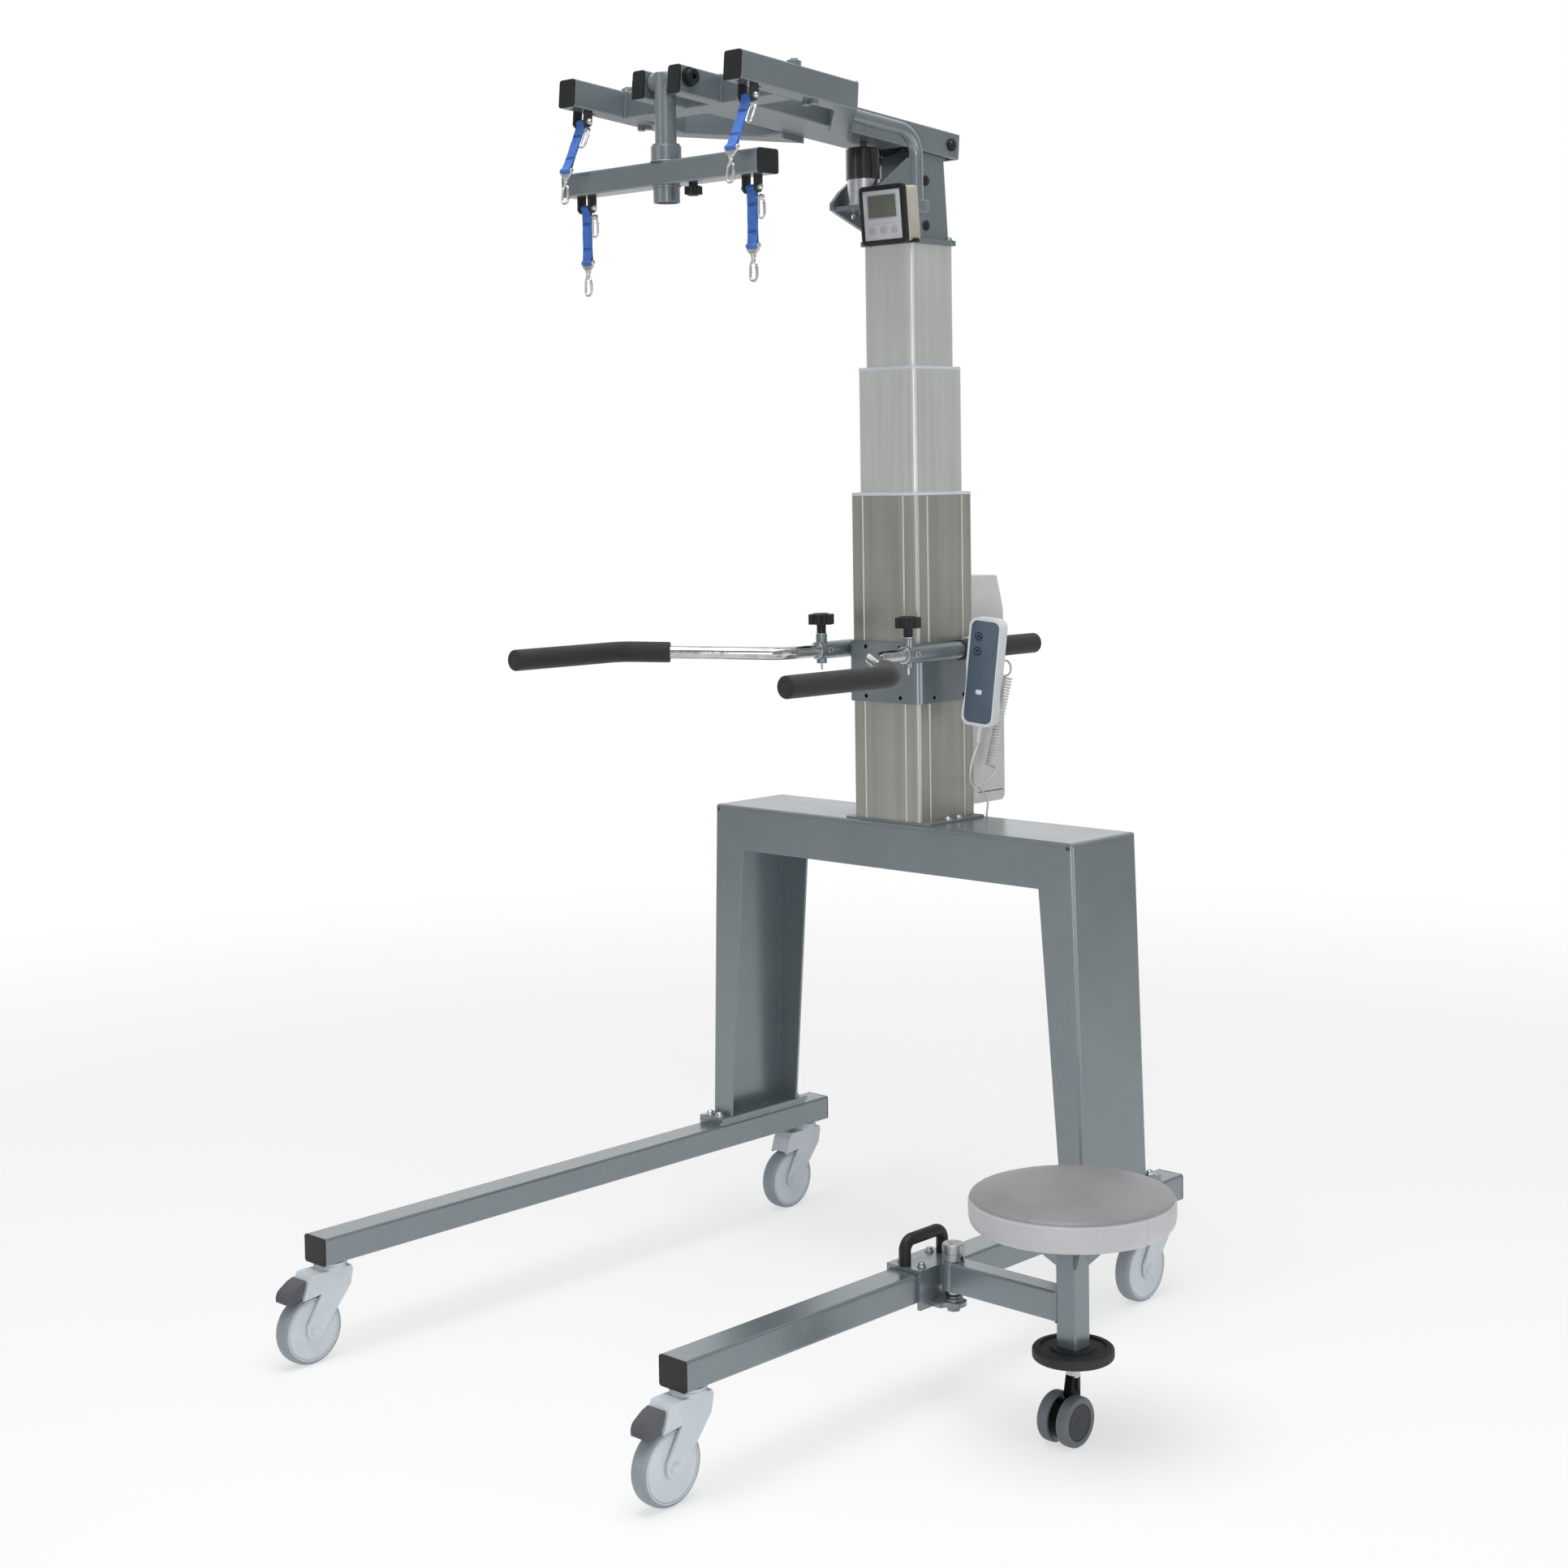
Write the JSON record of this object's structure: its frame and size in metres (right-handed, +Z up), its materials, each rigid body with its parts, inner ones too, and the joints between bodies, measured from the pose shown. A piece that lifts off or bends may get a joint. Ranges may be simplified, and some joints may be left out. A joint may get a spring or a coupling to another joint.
{
  "type": "body weight support gantry",
  "caption": "Wheeled arch with a telescopic lift column, sprung overhead boom with spreader and suspension straps, adjustable handlebars and a swing-out stool",
  "frame": {"origin": "On the floor under the middle of the overall box, cords left out", "axes": "+Z up; +Y from the open ends of the side rails towards the arch; +X towards the side with the stool"},
  "size_m": [1.4381, 1.4444, 2.2907],
  "materials": {
    "paint": "fine metallic grey powder coat",
    "alloy": "anodised, brushed along the column",
    "steel": "zinc plated, bright",
    "chrome": "polished",
    "black_plastic": "fine moulded grain",
    "foam": "closed-cell foam skin",
    "webbing": "woven",
    "caster_plastic": "smooth moulded",
    "tyre": "grey elastic tread on a pale disc",
    "pedal_plastic": "moulded",
    "display_plastic": "moulded, black bezel and pale face",
    "box_plastic": "moulded grain",
    "white_plastic": "smooth moulded",
    "key_plastic": "soft keypad",
    "vinyl": "grained vinyl with sewn seams"
  },
  "bodies": {
    "base": {"side_rails": "paint", "rail_plugs": "black_plastic", "arch": "paint", "frame_bolts": "steel", "column_outer": "alloy", "guide_ring_outer": "caster_plastic", "lift_drive": "black_plastic", "collar": "paint", "rear_sleeves": "foam", "control_box": "box_plastic", "handset": "white_plastic", "handset_cord": "white_plastic", "power_lead": "white_plastic"},
    "lift_mid": {"column_mid": "alloy", "guide_ring_mid": "caster_plastic"},
    "lift_inner": {"column_inner": "alloy", "head_bracket": "paint", "spring_body": "steel"},
    "boom": {"boom_frame": "paint", "frame_plugs": "black_plastic", "boom_pins": "black_plastic", "display_housing": "display_plastic"},
    "spring_sleeve": {"spring_sleeve": "black_plastic"},
    "hanger": {"hanger_tube": "paint"},
    "lift_bar": {"lift_bar": "paint", "bar_plugs": "black_plastic"},
    "bar_knob": {"bar_knob": "black_plastic"},
    "handlebar_left": {"handlebar_left": "chrome", "grip_left": "foam"},
    "handlebar_right": {"handlebar_right": "chrome", "grip_right": "foam"},
    "clamp_knob_left": {"clamp_knob_left": "black_plastic"},
    "clamp_knob_right": {"clamp_knob_right": "black_plastic"},
    "up_key": {"handset_up_key": "key_plastic"},
    "down_key": {"handset_down_key": "key_plastic"},
    "carriage": {"carriage": "paint", "grab_handle": "paint"},
    "stool": {"stool_frame": "paint", "seat_cushion": "vinyl", "bumper_disc": "black_plastic"},
    "stool_caster": {"stool_fork": "black_plastic"},
    "stool_wheels": {"stool_wheels": "tyre"},
    "caster_fl": {"fork_fl": "caster_plastic"},
    "wheel_fl": {"wheel_fl": "tyre"},
    "caster_fr": {"fork_fr": "caster_plastic"},
    "wheel_fr": {"wheel_fr": "tyre"},
    "caster_rl": {"fork_rl": "caster_plastic"},
    "wheel_rl": {"wheel_rl": "tyre"},
    "caster_rr": {"fork_rr": "caster_plastic"},
    "wheel_rr": {"wheel_rr": "tyre"},
    "pedal_fl": {"pedal_fl": "pedal_plastic"},
    "pedal_fr": {"pedal_fr": "pedal_plastic"},
    "strap_ul": {"strap_ul": "webbing"},
    "hook_ul": {"hook_ul": "steel"},
    "strap_ur": {"strap_ur": "webbing"},
    "hook_ur": {"hook_ur": "steel"},
    "strap_ll": {"strap_ll": "webbing"},
    "hook_ll": {"hook_ll": "steel"},
    "strap_lr": {"strap_lr": "webbing"},
    "hook_lr": {"hook_lr": "steel"}
  },
  "joints": [
    {"name": "caster_fl_swivel", "type": "hinge", "parent": "base", "child": "caster_fl", "pos_m": [-0.689, -0.60975, 0.165], "axis": [0, 0, 1], "continuous": true},
    {"name": "wheel_fl_spin", "type": "hinge", "parent": "caster_fl", "child": "wheel_fl", "pos_m": [-0.689, -0.65975, 0.0625], "axis": [1, 0, 0], "continuous": true},
    {"name": "caster_fr_swivel", "type": "hinge", "parent": "base", "child": "caster_fr", "pos_m": [0.235, -0.60975, 0.165], "axis": [0, 0, 1], "continuous": true},
    {"name": "wheel_fr_spin", "type": "hinge", "parent": "caster_fr", "child": "wheel_fr", "pos_m": [0.235, -0.65975, 0.0625], "axis": [1, 0, 0], "continuous": true},
    {"name": "caster_rl_swivel", "type": "hinge", "parent": "base", "child": "caster_rl", "pos_m": [-0.689, 0.63025, 0.165], "axis": [0, 0, 1], "continuous": true},
    {"name": "wheel_rl_spin", "type": "hinge", "parent": "caster_rl", "child": "wheel_rl", "pos_m": [-0.689, 0.58025, 0.0625], "axis": [1, 0, 0], "continuous": true},
    {"name": "caster_rr_swivel", "type": "hinge", "parent": "base", "child": "caster_rr", "pos_m": [0.235, 0.63025, 0.165], "axis": [0, 0, 1], "continuous": true},
    {"name": "wheel_rr_spin", "type": "hinge", "parent": "caster_rr", "child": "wheel_rr", "pos_m": [0.235, 0.58025, 0.0625], "axis": [1, 0, 0], "continuous": true},
    {"name": "pedal_fl_press", "type": "hinge", "parent": "caster_fl", "child": "pedal_fl", "pos_m": [-0.689, -0.68975, 0.13], "axis": [1, 0, 0], "range_deg": [0, 25]},
    {"name": "pedal_fr_press", "type": "hinge", "parent": "caster_fr", "child": "pedal_fr", "pos_m": [0.235, -0.68975, 0.13], "axis": [1, 0, 0], "range_deg": [0, 25]},
    {"name": "lift_mid_slide", "type": "slide", "parent": "base", "child": "lift_mid", "axis": [0, 0, 1], "range_m": [-0.23, 0.06]},
    {"name": "lift_inner_slide", "type": "slide", "parent": "lift_mid", "child": "lift_inner", "axis": [0, 0, 1], "range_m": [-0.23, 0.06]},
    {"name": "boom_pivot", "type": "hinge", "parent": "lift_inner", "child": "boom", "pos_m": [-0.227, 0.54125, 2.21], "axis": [1, 0, 0], "range_deg": [0, 8], "stiffness_Nm_per_rad": 700, "springref_deg": -17.19},
    {"name": "spring_sleeve_slide", "type": "slide", "parent": "lift_inner", "child": "spring_sleeve", "axis": [0, 0, -1], "range_m": [0, 0.0265]},
    {"name": "hanger_tilt", "type": "hinge", "parent": "boom", "child": "hanger", "pos_m": [-0.227, -0.16862, 2.26522], "axis": [-1, 0, 0], "range_deg": [-35, 5]},
    {"name": "bar_swivel", "type": "hinge", "parent": "hanger", "child": "lift_bar", "pos_m": [-0.227, -0.16862, 2.12422], "axis": [0, 0, 1], "range_deg": [-4.5, 4.5]},
    {"name": "bar_knob_turn", "type": "hinge", "parent": "lift_bar", "child": "bar_knob", "pos_m": [-0.16, -0.16862, 2.08222], "axis": [0, 0, 1], "range_deg": [-180, 180]},
    {"name": "strap_ul_swing", "type": "hinge", "parent": "boom", "child": "strap_ul", "pos_m": [-0.437, -0.17592, 2.21465], "axis": [-1, 0, 0], "range_deg": [-7, 60]},
    {"name": "hook_ul_swing", "type": "hinge", "parent": "strap_ul", "child": "hook_ul", "pos_m": [-0.437, -0.21657, 2.12548], "axis": [-1, 0, 0], "range_deg": [-12, 45]},
    {"name": "strap_ur_swing", "type": "hinge", "parent": "boom", "child": "strap_ur", "pos_m": [-0.017, -0.17592, 2.21465], "axis": [-1, 0, 0], "range_deg": [-7, 60]},
    {"name": "hook_ur_swing", "type": "hinge", "parent": "strap_ur", "child": "hook_ur", "pos_m": [-0.017, -0.21657, 2.12548], "axis": [-1, 0, 0], "range_deg": [-12, 45]},
    {"name": "strap_ll_swing", "type": "hinge", "parent": "lift_bar", "child": "strap_ll", "pos_m": [-0.437, -0.16862, 2.06122], "axis": [-1, 0, 0], "range_deg": [-45, 45]},
    {"name": "hook_ll_swing", "type": "hinge", "parent": "strap_ll", "child": "hook_ll", "pos_m": [-0.437, -0.16862, 1.96322], "axis": [-1, 0, 0], "range_deg": [-45, 45]},
    {"name": "strap_lr_swing", "type": "hinge", "parent": "lift_bar", "child": "strap_lr", "pos_m": [-0.017, -0.16862, 2.06122], "axis": [-1, 0, 0], "range_deg": [-45, 45]},
    {"name": "hook_lr_swing", "type": "hinge", "parent": "strap_lr", "child": "hook_lr", "pos_m": [-0.017, -0.16862, 1.96322], "axis": [-1, 0, 0], "range_deg": [-45, 45]},
    {"name": "handlebar_left_slide", "type": "slide", "parent": "base", "child": "handlebar_left", "axis": [0, -1, 0], "range_m": [-0.06, 0.08]},
    {"name": "clamp_knob_left_turn", "type": "hinge", "parent": "base", "child": "clamp_knob_left", "pos_m": [-0.339, 0.33625, 1.3], "axis": [0, 0, 1], "range_deg": [-180, 180]},
    {"name": "handlebar_right_slide", "type": "slide", "parent": "base", "child": "handlebar_right", "axis": [0, -1, 0], "range_m": [-0.06, 0.08]},
    {"name": "clamp_knob_right_turn", "type": "hinge", "parent": "base", "child": "clamp_knob_right", "pos_m": [-0.115, 0.33625, 1.3], "axis": [0, 0, 1], "range_deg": [-180, 180]},
    {"name": "up_key_press", "type": "slide", "parent": "base", "child": "up_key", "axis": [-0.225, 0.9744, 0], "range_m": [0, 0.0006], "stiffness_N_per_m": 400, "springref_m": -0.0008},
    {"name": "down_key_press", "type": "slide", "parent": "base", "child": "down_key", "axis": [-0.225, 0.9744, 0], "range_m": [0, 0.0006], "stiffness_N_per_m": 400, "springref_m": -0.0008},
    {"name": "carriage_slide", "type": "slide", "parent": "base", "child": "carriage", "axis": [0, 1, 0], "range_m": [-0.39, 0.33]},
    {"name": "stool_swing", "type": "hinge", "parent": "carriage", "child": "stool", "pos_m": [0.297, -0.04375, 0.2], "axis": [0, 0, 1], "range_deg": [-60, 45]},
    {"name": "stool_caster_swivel", "type": "hinge", "parent": "stool", "child": "stool_caster", "pos_m": [0.548, -0.04375, 0.1], "axis": [0, 0, 1], "continuous": true},
    {"name": "stool_wheels_spin", "type": "hinge", "parent": "stool_caster", "child": "stool_wheels", "pos_m": [0.548, -0.06575, 0.041], "axis": [1, 0, 0], "continuous": true}
  ],
  "couplings": [
    {"joint": "lift_inner_slide", "follows": "lift_mid_slide", "ratio": 1},
    {"joint": "spring_sleeve_slide", "follows": "boom_pivot", "m_per_rad": 0.189}
  ]
}
